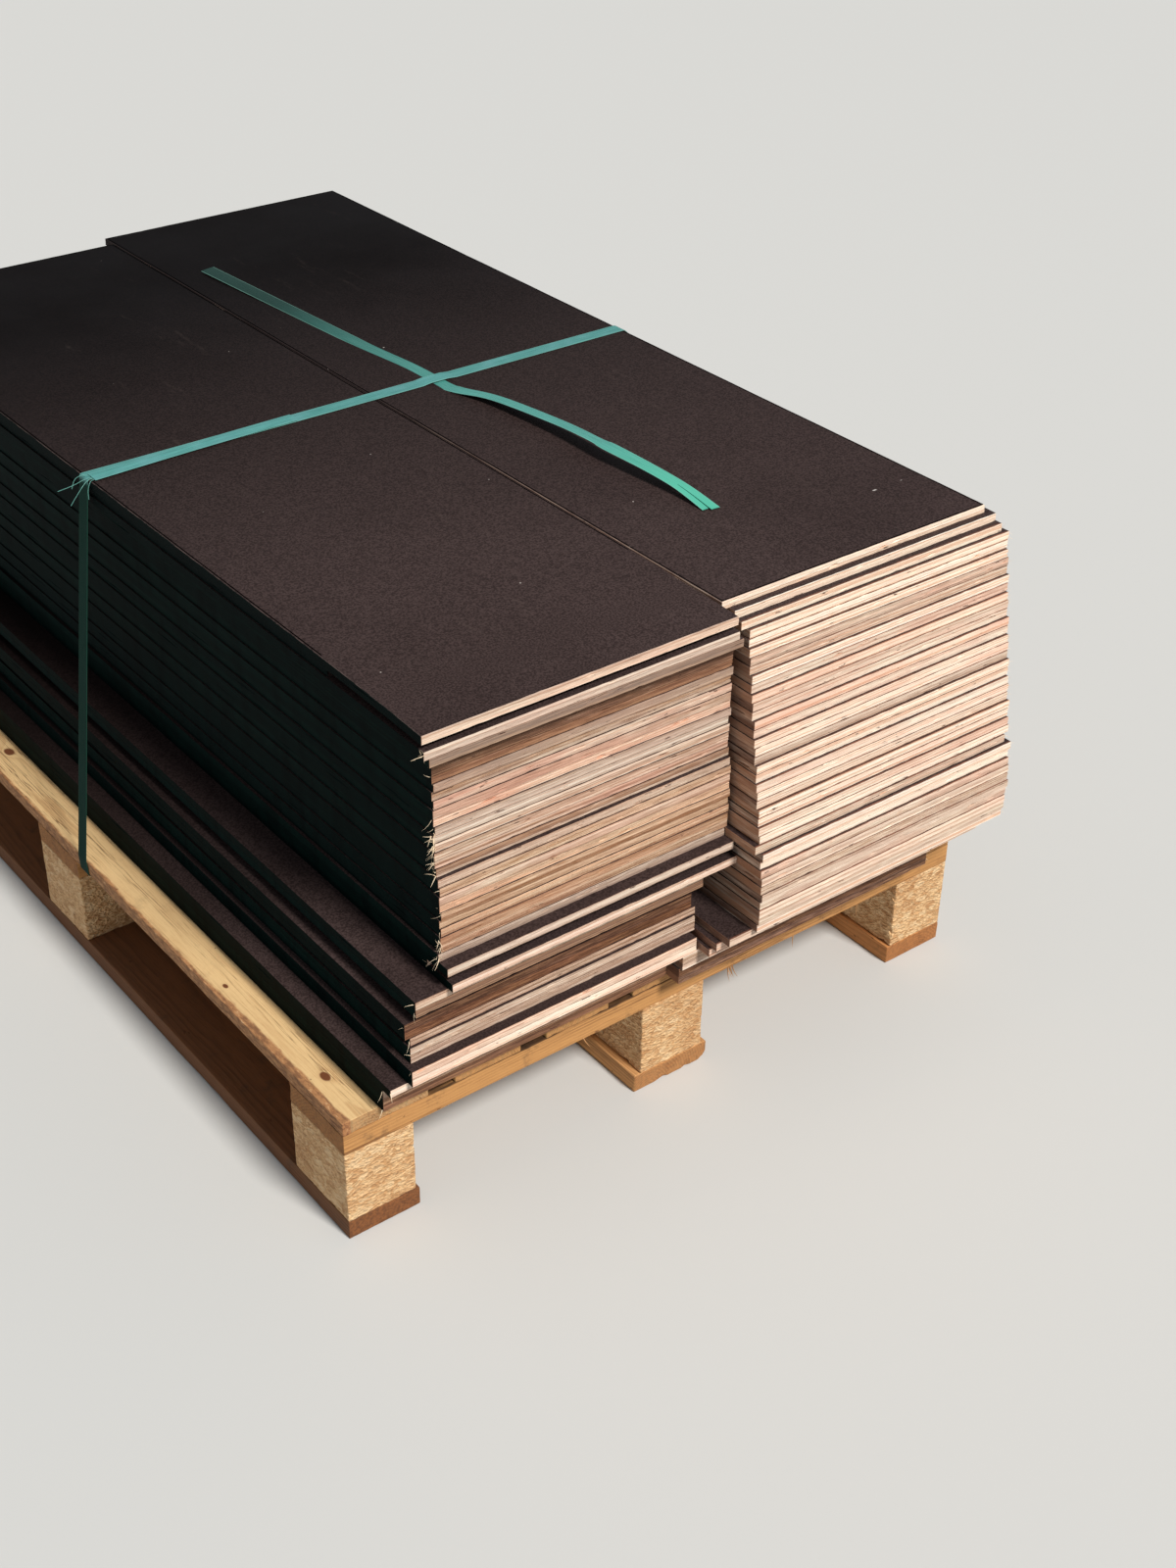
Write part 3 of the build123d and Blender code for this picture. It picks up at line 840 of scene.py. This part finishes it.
def sheet_look(left, number):
    """How brown, how pink and how grey a sheet's sawn edge is; grey below 0 is warm. The brown also carries
    painted shade on recessed and low sheets, and the uppermost right sheets are kept palest as painted
    light.
    """
    swing = 0.5 + 0.5 * math.sin(number * 2.3)
    turn = 0.5 + 0.5 * math.sin(number * 1.31 + 0.6)
    tones = left_tones if left else right_tones
    brown = next((weight for weight, numbers in tones.items() if number in numbers), 0.02 + 0.14 * swing)
    if left:
        pink = 1.0 if number in left_pink else 0.15 + 0.35 * turn
        grey = 0.6 if number in left_grey else 0.2 * (1 - turn)
        return (brown, pink, -1.0 if number in left_warm else grey)
    # painted light: the uppermost right sheets are kept palest, with no pink or grey
    if number >= right_lightest_from:
        return (brown, 0.0, 0.0)
    return (brown, 0.65 if number in right_pink else 0.12 + 0.45 * turn * turn, 0.22 * swing)


def sheets_in(node, bent=False):
    """Lowest and highest corner of every sheet in a CAD node, by its number from the deck up.

    The droop of a bent sheet is left out: it gets the corner that the flat sheet would have.
    """
    co = np.array([v.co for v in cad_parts[node].data.vertices])
    heights = sorted(set(np.round(co[:, 2], 5)))
    if bent:
        heights = [co[:, 2].max() - sheet_thick, co[:, 2].max()]
    found = {}
    for low, high in zip(heights[0::2], heights[1::2]):
        inside = co if bent else co[(co[:, 2] > low - 0.0001) & (co[:, 2] < high + 0.0001)]
        start, end = inside.min(0), inside.max(0)
        if bent:
            start[2] = low
        found[round((low - load_height) / sheet_thick) + 1] = (start, end)
    return found


# the uppermost left sheet hangs 3 mm at its front, over the last 152 mm
top_droop = 0.003
droop_start = -0.470


def stacked(node, blank, droop=0.0):
    """Sheets in the places of one CAD node's solids, read from the frame."""
    left = node.startswith("left")
    found = sheets_in(node, droop > 0)
    sizes = []
    for start, end in found.values():
        sizes.append(((end[0] - start[0]) / sheet_width, (end[1] - start[1]) / sheet_length, 1.0))
    piece = grow(
        node + "_ply", [start for start, end in found.values()], [], stacking,
        {
            "Sheet": blank, "Wander": 0.0006, "Veneer relief": 0.0013, "Gap depth": 0.0035,
            "Chip depth": 0.0008, "Droop": droop, "Droop start": droop_start, "Film": film,
            # the set-back sheet's sawn edges take the dark film, as painted shade in the gap under the top
            # sheet
            "Sawn edge": film if "set_back" in node else ply_edge, "Edge paint": green_paint,
        },
        {
            "size": ("FLOAT_VECTOR", sizes),
            "sheet": ("FLOAT", [number + (left_mark if left else 0) for number in found]),
            "look": ("FLOAT_VECTOR", [sheet_look(left, number) for number in found]),
            "painted": ("FLOAT", [1.0 if left else 0.0] * len(found)),
        },
    )
    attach(piece, "root")
    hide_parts(node)


top_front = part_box("left_top_sheet")[0].y
for node in sorted(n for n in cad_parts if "sheet" in n):
    if node == "left_top_sheet":
        stacked(node, full_blank, top_droop / (droop_start - top_front) ** 2)
    elif node == "right_top_sheet":
        stacked(node, full_blank)
    else:
        stacked(node, plain_blank)
bpy.data.objects.remove(plain_blank)
bpy.data.objects.remove(full_blank)

# Fibres at the sawn corners, and splinters under the front stringer.
# The saw tore tufts of pale birch fibre out of the veneers where the blade left
# the sheets, thickest at a few of them, and pine splinters out of the stringer.


def two_toned(name, scale, light, dark, roughness):
    """Plain material in two clouded shades, for thin pieces."""
    material, _, shader, place = new_material(name)
    finish_look(shader, tint(noise(place, scale), light, dark), roughness)
    return material


def needle(name, length, radius, bend):
    """Thin torn fibre, tapering and bent, standing along +X."""
    rings = 5
    sides = 4
    points = []
    for i in range(rings):
        t = i / (rings - 1)
        r = radius * (1 - 0.85 * t)
        for a in range(sides):
            turn = 2 * math.pi * a / sides
            points.append((t * length, r * math.cos(turn), bend * t * t * length + 0.5 * r * math.sin(turn)))
    faces = walls(rings, sides)
    faces.append(tuple(range(sides))[::-1])
    faces.append(tuple((rings - 1) * sides + a for a in range(sides)))
    return mesh_object(name, points, faces)


def at_random(low, high, seed, kind="FLOAT_VECTOR"):
    """A random vector or number between two limits, drawn for each point by itself."""
    first = 0 if kind == "FLOAT_VECTOR" else 2
    node = add(
        low.id_data, "FunctionNodeRandomValue", {first: low, first + 1: high, "Seed": seed}, data_type=kind
    )
    return node.outputs[first // 2]


# the tufting tree: fibres scattered round each point, turned and grown at random
tufting, given, end = geometry_tree(
    "tufts of fibre",
    {
        "Fibre": "Object", "Spread": "Vector", "Lowest turn": "Vector", "Highest turn": "Vector",
        "Shortest": "Float", "Longest": "Float", "Seed": "Int", "Finish": "Material",
    },
)
copies = add(
    tufting, "GeometryNodeDuplicateElements",
    {"Geometry": given["Geometry"], "Amount": stored(tufting, "tufts", "INT")}, domain="POINT",
).outputs["Geometry"]
half_spread = stretch(given["Spread"], 0.5, 0.5, 0.5)
scatter = at_random(stretch(half_spread, -1, -1, -1), half_spread, given["Seed"])
turn = at_random(given["Lowest turn"], given["Highest turn"], calc("ADD", given["Seed"], 3.0))
grown = at_random(given["Shortest"], given["Longest"], calc("ADD", given["Seed"], 7.0), "FLOAT")
scattered = add(tufting, "GeometryNodeSetPosition", {"Geometry": copies, "Offset": scatter}).outputs[0]
tufts = copied(scattered, given["Fibre"], Rotation=turn, Scale=grown)
fill(end, {"Geometry": coated(tufts, given["Finish"])})

fibre_wood = two_toned("torn pale fibre", 300.0, srgb(252, 238, 210), srgb(226, 190, 148), 0.8)
splinter_wood = two_toned("hanging splinter", 240.0, srgb(222, 172, 118), srgb(170, 118, 72), 0.85)

splinter_blank = needle("splinter", 0.024, 0.0018, 0.20)
splinter_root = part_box("stringer_front")[0] + Vector((0.0, 0.0015, 0.0012))
splinter_places = (0.0745, 0.0775, 0.081, 0.168, -0.118, 0.262)
piece = grow(
    "stringer_splinters", [(x, splinter_root.y, splinter_root.z) for x in splinter_places], [], tufting,
    {
        "Fibre": splinter_blank, "Spread": (0.002, 0.001, 0.0), "Finish": splinter_wood,
        "Lowest turn": (0.0, 1.15, -0.5), "Highest turn": (0.6, 1.9, 0.5),
        "Shortest": 0.60, "Longest": 1.0, "Seed": 2,
    },
    {"tufts": ("INT", [2, 1, 1, 1, 1, 1])},
)
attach(piece, "root")
bpy.data.objects.remove(splinter_blank)


def corner_fibres(name, corners, side, count, values):
    """Tufts at each sheet's front corner, the left one where side is 0 and the right one where it is 1."""
    inset = 0.001
    points, tufts = [], []
    for number, (low, high) in sorted(corners.items()):
        points.append(((low, high)[side][0], low[1] + inset, (low[2] + high[2]) / 2))
        tufts.append(count(number))
    shared = {"Fibre": fibre_blank, "Spread": (0.0015, 0.004, 0.007), "Finish": fibre_wood}
    piece = grow(name, points, [], tufting, {**shared, **values}, {"tufts": ("INT", tufts)})
    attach(piece, "root")


fibre_blank = needle("fibre", 0.011, 0.00055, 0.35)
left_corners, right_corners = {}, {}
for node in ("left_sheets_odd", "left_sheets_even", "left_proud_sheets"):
    left_corners.update(sheets_in(node))
for node in ("right_sheets_odd", "right_sheets_even", "right_top_sheet"):
    right_corners.update(sheets_in(node))
busy_sheets = {18: 8, 19: 10, 20: 4, 28: 4, 29: 9, 30: 5, 31: 9, 32: 12, 33: 4, 41: 3, 43: 6, 12: 3}
corner_fibres(
    "left_corner_fibres", left_corners, 0,
    lambda number: busy_sheets.get(number, (0, 1, 0, 2, 1)[number % 5]),
    {
        "Lowest turn": (0.0, -0.9, 2.6), "Highest turn": (6.2, 1.1, 4.9),
        "Shortest": 0.22, "Longest": 1.15, "Seed": 5,
    },
)
corner_fibres(
    "right_corner_fibres", right_corners, 1,
    lambda number: 2 + number % 4,
    {
        "Lowest turn": (0.0, -0.8, -2.0), "Highest turn": (6.2, 0.9, 0.9),
        "Shortest": 0.12, "Longest": 0.5, "Seed": 9,
    },
)
bpy.data.objects.remove(fibre_blank)

# Tight strap.
# One band of green polypropylene goes round the load and under the deck boards.
# Its ends are welded on the left part of the top, where the outer layer lies a
# little out of line, and stray threads hang from its end at the corner.
strap_width = 0.019
strap_thick = 0.0008
edge_round = 0.00022
edge_from = 0.97
band_slices = 10
embossing = 0.0016
# below the load's top edge the band gets painted shade and a duller finish: where that begins and where it
# is full
shade_and_dull_from, shade_and_dull_full = 0.556, 0.546


def strapping(name, fresh):
    """Green band: lengthwise draw lines, fine embossing, pale stress marks at the edges, painted shade below
    the load's top edge, and on the cut band painted light in front and painted shade toward the back.
    """
    material, tree, shader, place = new_material(name)
    along = attribute(tree, "along")
    across = attribute(tree, "across")
    aside = calc("MULTIPLY", across, strap_width / 2)
    surface = combined(along, aside)
    drawn = noise(stretch(surface, 0.03, 1.0, 1.0), 900.0, 3.0, 0.6)
    colour = tint(ramp(drawn, 0.3, 0.7), srgb(62, 134, 128), srgb(94, 166, 160))
    below = ramp(split(place)["Z"], shade_and_dull_from, shade_and_dull_full)
    sheen = ramp(below, 0.0, 1.0, 0.45, 0.06)
    if fresh:
        # painted light on the raised near part of the cut band, and painted shade darkening it from the
        # crossing to the back
        colour = tint(ramp(split(place)["Y"], -0.22, -0.42, 0.15, 0.75), colour, srgb(84, 194, 162))
        far = ramp(split(place)["Y"], -0.04, 0.34)
        colour = tint(times(far, 0.94), colour, srgb(28, 46, 41))
        sheen = times(sheen, ramp(far, 0.0, 1.0, 1.0, 0.15))
    else:
        cloud = noise(surface, 22.0, 3.0, 0.6)
        colour = tint(ramp(cloud, 0.4, 0.7, 0.0, 0.55), colour, srgb(104, 164, 166))
    rim = ramp(calc("ABSOLUTE", across), 0.86, 1.0, 0.0, 0.35)
    colour = tint(rim, colour, srgb(158, 214, 196))
    # painted shade on the band's runs down the sides
    colour = tint(times(below, 0.96), colour, tint(rim, srgb(6, 36, 26), srgb(36, 92, 70)))
    pitch = 2 * math.pi / embossing
    rising = calc("SINE", calc("MULTIPLY", calc("ADD", along, aside), pitch))
    falling = calc("SINE", calc("MULTIPLY", calc("SUBTRACT", along, aside), pitch))
    height = calc("MULTIPLY_ADD", times(rising, falling), 0.35, drawn)
    finish_look(shader, colour, ramp(below, 0.0, 1.0, 0.36, 0.7), sheen, height, 0.35, 0.0004)
    return material


def band_mesh(centres, acrosses, form, low=-1.0, high=1.0, closed=False, start=0.0):
    """Band swept through stations, with a shaped section; returns points, faces, along, across."""
    points, along, across = [], [], []
    run = start
    count = len(centres)
    shares = [low + (high - low) * i / band_slices for i in range(band_slices + 1)]
    section = [(u, 1) for u in shares] + [(u, 0) for u in reversed(shares)]
    for s in range(count):
        before = centres[s - 1] if closed or s else centres[s]
        after = centres[(s + 1) % count] if closed or s < count - 1 else centres[s]
        if s:
            run += (centres[s] - centres[s - 1]).length
        side = acrosses[s]
        up = (after - before).normalized().cross(side).normalized()
        for u, top in section:
            edge = edge_round if abs(u) > edge_from * max(abs(low), abs(high)) else 0.0
            lift = form(run, u) + (strap_thick - edge if top else edge)
            points.append(centres[s] + side * (u * strap_width / 2) + up * lift)
            along.append(run)
            across.append(u)
    ring = len(section)
    faces = walls(count, ring, looped=closed)
    if not closed:
        faces.append(tuple(range(ring))[::-1])
        faces.append(tuple((count - 1) * ring + a for a in range(ring)))
    return points, faces, along, across


def strap_piece(name, bands, material, node):
    """One piece from bands, in the place of a CAD strap."""
    points, faces, along, across = [], [], [], []
    for band_points, band_faces, band_along, band_across in bands:
        base = len(points)
        points += band_points
        faces += [tuple(i + base for i in face) for face in band_faces]
        along += band_along
        across += band_across
    piece = mesh_object(name, points, faces)
    mesh = piece.data
    store(mesh, "along", "FLOAT", along)
    store(mesh, "across", "FLOAT", across)
    edit = bmesh.new()
    edit.from_mesh(mesh)
    bmesh.ops.recalc_face_normals(edit, faces=edit.faces)
    edit.to_mesh(mesh)
    edit.free()
    mesh.materials.append(material)
    for face in mesh.polygons:
        face.use_smooth = True
    mesh.set_sharp_from_angle(angle=math.radians(40))
    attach(piece, "root")
    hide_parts(node)


def walk_to(stations, target, step):
    """Adds even stations on the straight way to the target."""
    count = int((target - stations[-1]).length / step)
    for k in range(1, count):
        stations.append(stations[-1] + (target - stations[-1]) / (count - k + 1))


def rounded(corners, radius, step):
    """Stations round a closed course, straight runs joined by small bends."""
    stations = []
    for i, here in enumerate(corners):
        into = here - corners[i - 1]
        out = corners[(i + 1) % len(corners)] - here
        trim = min(radius, into.length * 0.4, out.length * 0.4)
        start = here - into.normalized() * trim
        end = here + out.normalized() * trim
        if stations:
            walk_to(stations, start, step)
        for t in (0.0, 0.25, 0.5, 0.75, 1.0):
            stations.append(start.lerp(here, t).lerp(here.lerp(end, t), t))
    walk_to(stations, stations[0], step)
    return stations


load_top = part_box("right_top_sheet")[1].z
deck_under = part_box("deck_board_1")[0].z
deck_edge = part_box("deck_board_7")[1].x
left_top_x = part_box("left_top_sheet")[0].x
strap_clear = 0.0005
strap_skew = 0.007
strap_top_y = 0.0005
strap_under_y = -0.070
strap_lean = (strap_top_y - strap_under_y) / (load_top - deck_under)


def on_strap(x, z):
    """The tight strap's place at a given width and height: it leans back and runs a little askew."""
    return Vector((x, strap_top_y + strap_skew * x - strap_lean * (load_top - z), z))


def taut(points):
    """The points a tight strap bears on, going up the load's right-hand side."""
    kept = []
    for x, z in points:
        while len(kept) > 1:
            (ax, az), (bx, bz) = kept[-2], kept[-1]
            if (bx - ax) * (z - bz) > (bz - az) * (x - bx):
                break
            kept.pop()
        kept.append((x, z))
    return kept


# the left column is mirrored for the reckoning, so that each side goes up on the right
left_corners[top_number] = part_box("left_top_sheet")
sides = []
for way, found, side in ((-1, left_corners, 0), (1, right_corners, 1)):
    bearing = [(deck_edge + strap_clear, deck_under), (deck_edge + strap_clear, load_height)]
    for number, corner in sorted(found.items()):
        sheet_bottom = load_height + (number - 1) * sheet_thick
        bearing += [(way * corner[side][0] + strap_clear, sheet_bottom + z) for z in (0, sheet_thick)]
    sides.append([(way * x, z) for x, z in taut(bearing)])
# the tight strap steps over the cut one
crossing = 0.125
step_up = 0.0012
step_foot, step_head = 0.023, 0.012
over = [
    (crossing - step_foot, 0), (crossing - step_head, step_up),
    (crossing + step_head, step_up), (crossing + step_foot, 0),
]
corners = [on_strap(x, z) for x, z in sides[0]]
corners = corners[-1:] + [on_strap(x, load_top + lift) for x, lift in over]
corners += [on_strap(x, z) for x, z in sides[1][::-1] + sides[0][:-1]]
bend_radius = 0.0022
strap_step = 0.008
stations = rounded(corners, bend_radius, strap_step)
straight_across = Vector((0, 1, 0))
crease_length = 0.30
crease_height = 0.00045
crease_at, crease_width = 0.15, 0.16


def taut_form(run, u):
    """Slight hollow across the width and a long crease on the left part of the top."""
    crease = 0.0
    if run < crease_length:
        crease = crease_height * math.exp(-((u - crease_at) / crease_width) ** 2)
    return 0.00015 + 0.00012 * u * u + crease


# the second layer of the lapped ends, a little narrower and bowed sideways
outer_end = 0.25
tail_inset, tail_aside, tail_lift = 0.004, 0.008, 0.0011
tail_steps = 34
tail_bow = 0.0012
band_end = on_strap(left_top_x, load_top) + Vector((tail_inset, 0, 0))
tail_from = Vector((band_end.x, band_end.y - tail_aside, load_top + tail_lift))
tail_to = on_strap(left_top_x + outer_end, load_top) + Vector((0, 0, tail_lift))
tail = []
for i in range(tail_steps + 1):
    share = i / tail_steps
    tail.append(tail_from.lerp(tail_to, share) + Vector((0, tail_bow * math.sin(share * math.pi), 0)))
inner = band_mesh(stations, [straight_across] * len(stations), taut_form, closed=True)
outer = band_mesh(tail, [straight_across] * len(tail), taut_form, low=-0.96, high=0.96, start=tail_inset)
green_tight = strapping("green strapping, dusty", False)
strap_piece("tight_band", [inner, outer], green_tight, "tight_strap")

# loose threads at the corner, swept from given lines
threading, given, end = geometry_tree("threads", {"Radius": "Float", "Finish": "Material"})
line = add(threading, "GeometryNodeMeshToCurve", {"Mesh": given["Geometry"]}).outputs["Curve"]
soft = add(
    threading, "GeometryNodeCurveSplineType", {"Curve": line}, spline_type="CATMULL_ROM"
).outputs["Curve"]
fine = add(
    threading, "GeometryNodeResampleCurve", {"Curve": soft, "Length": 0.0015}, mode="LENGTH"
).outputs["Curve"]
circle = add(
    threading, "GeometryNodeCurvePrimitiveCircle", {"Resolution": 5, "Radius": given["Radius"]}
).outputs["Curve"]
swept = add(
    threading, "GeometryNodeCurveToMesh", {"Curve": fine, "Profile Curve": circle, "Fill Caps": True}
).outputs["Mesh"]
fill(end, {"Geometry": coated(swept, given["Finish"])})

thread_plastic = two_toned("frayed green thread", 500.0, srgb(70, 132, 122), srgb(122, 182, 170), 0.4)
thread_aside, thread_lift = 0.012, 0.0012
thread_root = Vector((band_end.x, band_end.y - thread_aside, load_top + thread_lift))
thread_turns = [
    [(0, 0, 0), (-0.008, -0.003, 0.0015), (-0.019, -0.006, -0.006), (-0.031, -0.007, -0.019)],
    [(0.001, 0.004, 0), (-0.009, 0.002, 0.001), (-0.021, 0.004, -0.003), (-0.036, 0.010, -0.008)],
    [(0, 0.009, 0), (-0.007, 0.010, 0.0025), (-0.015, 0.012, -0.001), (-0.020, 0.011, -0.010)],
    [(0.001, -0.002, 0), (-0.006, -0.006, 0.001), (-0.011, -0.009, -0.006), (-0.012, -0.010, -0.016)],
]
points, edges = [], []
for turns in thread_turns:
    for i, turn in enumerate(turns):
        if i:
            edges.append((len(points) - 1, len(points)))
        points.append(thread_root + Vector(turn))
piece = grow(
    "strap_threads", points, [], threading, {"Radius": 0.0003, "Finish": thread_plastic}, edges=edges
)
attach(piece, "root")

# Cut strap.
# A second length of the same band was cut and left lying on the right column.
# It keeps its bends: a kink where it comes out from under the tight band, a low
# arch in front of that, and a split, freshly cut end.
cut_step = 0.007
lowest_lie = 0.0002
# its course from the back to the cut end: place, height over the sheet and roll
cut_course = [
    (0.090, 0.466, 0.0030, 4), (0.102, 0.308, 0.0015, 3), (0.114, 0.148, 0.0004, 0),
    (0.124, 0.050, 0.0002, 0), (0.125, -0.015, 0.0002, 0), (0.128, -0.040, 0.0012, -2),
    (0.142, -0.096, 0.0065, -7), (0.1515, -0.199, 0.0115, -9), (0.1525, -0.262, 0.0138, -10),
    (0.152, -0.284, 0.0145, -1), (0.157, -0.348, 0.0120, -4), (0.161, -0.395, 0.0075, -4),
    (0.1600, -0.443, 0.0020, -1),
]


def smooth_course(course, spacing):
    """Even stations along a smooth line through given points, with height and roll."""
    stations = []
    data = [np.array(p, float) for p in course]
    for i in range(len(data) - 1):
        a = data[max(i - 1, 0)]
        b, c = data[i], data[i + 1]
        d = data[min(i + 2, len(data) - 1)]
        count = max(3, round(np.linalg.norm(c[:3] - b[:3]) / spacing))
        for k in range(count):
            t = k / count
            straight = 2 * b + (c - a) * t
            curved = (2 * a - 5 * b + 4 * c - d) * t * t + (3 * b - a - 3 * c + d) * t ** 3
            stations.append(0.5 * (straight + curved))
    stations.append(data[-1])
    return stations


stations = smooth_course(cut_course, cut_step)
centres = [Vector((x, y, load_top + max(h, lowest_lie))) for x, y, h, roll in stations]
acrosses = []
for i, (x, y, h, roll) in enumerate(stations):
    ahead = centres[min(i + 1, len(centres) - 1)] - centres[max(i - 1, 0)]
    side = Vector((ahead.y, -ahead.x, 0)).normalized()
    acrosses.append(Matrix.Rotation(math.radians(roll), 3, ahead.normalized()) @ side)


def cut_form(run, u):
    """A little hollow across the width, the same all along."""
    return 0.0003 * u * u


# the cut end is split into two tongues, and the narrow one hangs lower and is shorter
split_steps = 8
split_drop = 0.0011
split_low, split_high = 0.16, 0.22
split_from = len(centres) - 1 - split_steps
main = band_mesh(centres[: split_from + 1], acrosses[: split_from + 1], cut_form)
run_there = main[2][-1]
end_centres, end_acrosses = centres[split_from:], acrosses[split_from:]
wide_tongue = band_mesh(end_centres, end_acrosses, cut_form, high=split_low, start=run_there)
hung = [p - Vector((0, 0, split_drop * i / split_steps)) for i, p in enumerate(end_centres)]
narrow_tongue = band_mesh(hung[:-1], end_acrosses[:-1], cut_form, low=split_high, start=run_there)
green_cut = strapping("green strapping, clean", True)
strap_piece("cut_band", [main, wide_tongue, narrow_tongue], green_cut, "cut_strap")
